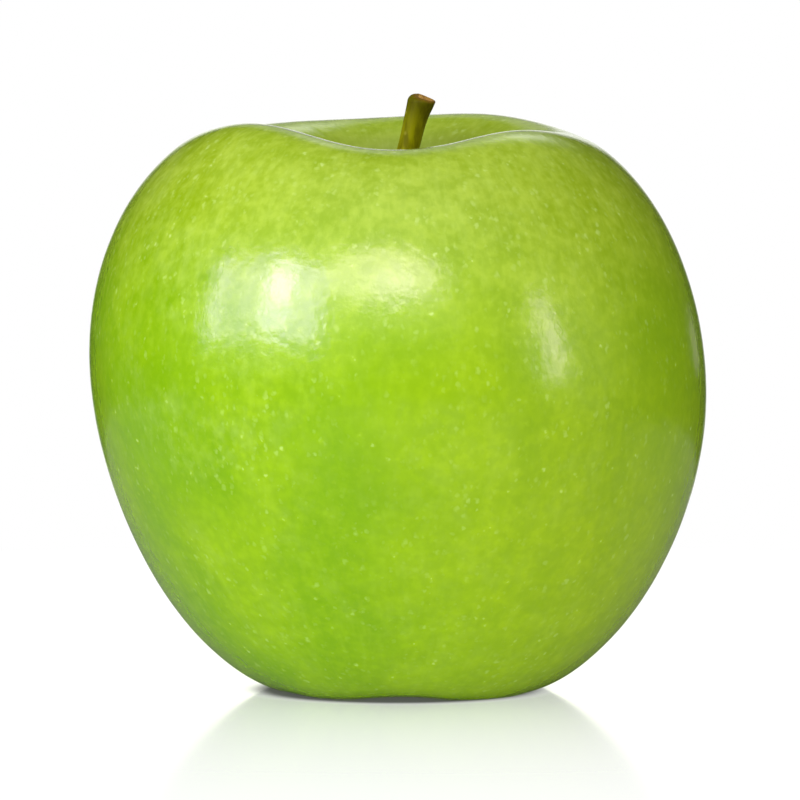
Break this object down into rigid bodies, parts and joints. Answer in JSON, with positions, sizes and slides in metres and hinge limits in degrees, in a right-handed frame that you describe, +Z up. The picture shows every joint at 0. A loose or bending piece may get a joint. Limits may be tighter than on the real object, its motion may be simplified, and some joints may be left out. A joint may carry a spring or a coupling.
{
  "type": "green apple",
  "caption": "Whole green apple with a short woody stem in its cavity and a dried calyx in its base; stands on the small flat spots of its base lobes.",
  "frame": {"origin": "under the middle of the fruit, on the surface that its base lobes stand on", "axes": "+Z up, -Y towards the picture's camera, +X to the fruit's right as the picture shows it"},
  "size_m": [0.0803, 0.0803, 0.0784],
  "materials": {
    "skin": "waxy gloss, mottled green skin with pale specks",
    "bark": "olive green bark with a reddish brown cut end",
    "husk": "dry brown sepals and stamens, matt"
  },
  "bodies": {
    "root": {"fruit": "skin", "stem": "bark", "calyx": "husk"}
  },
  "joints": []
}
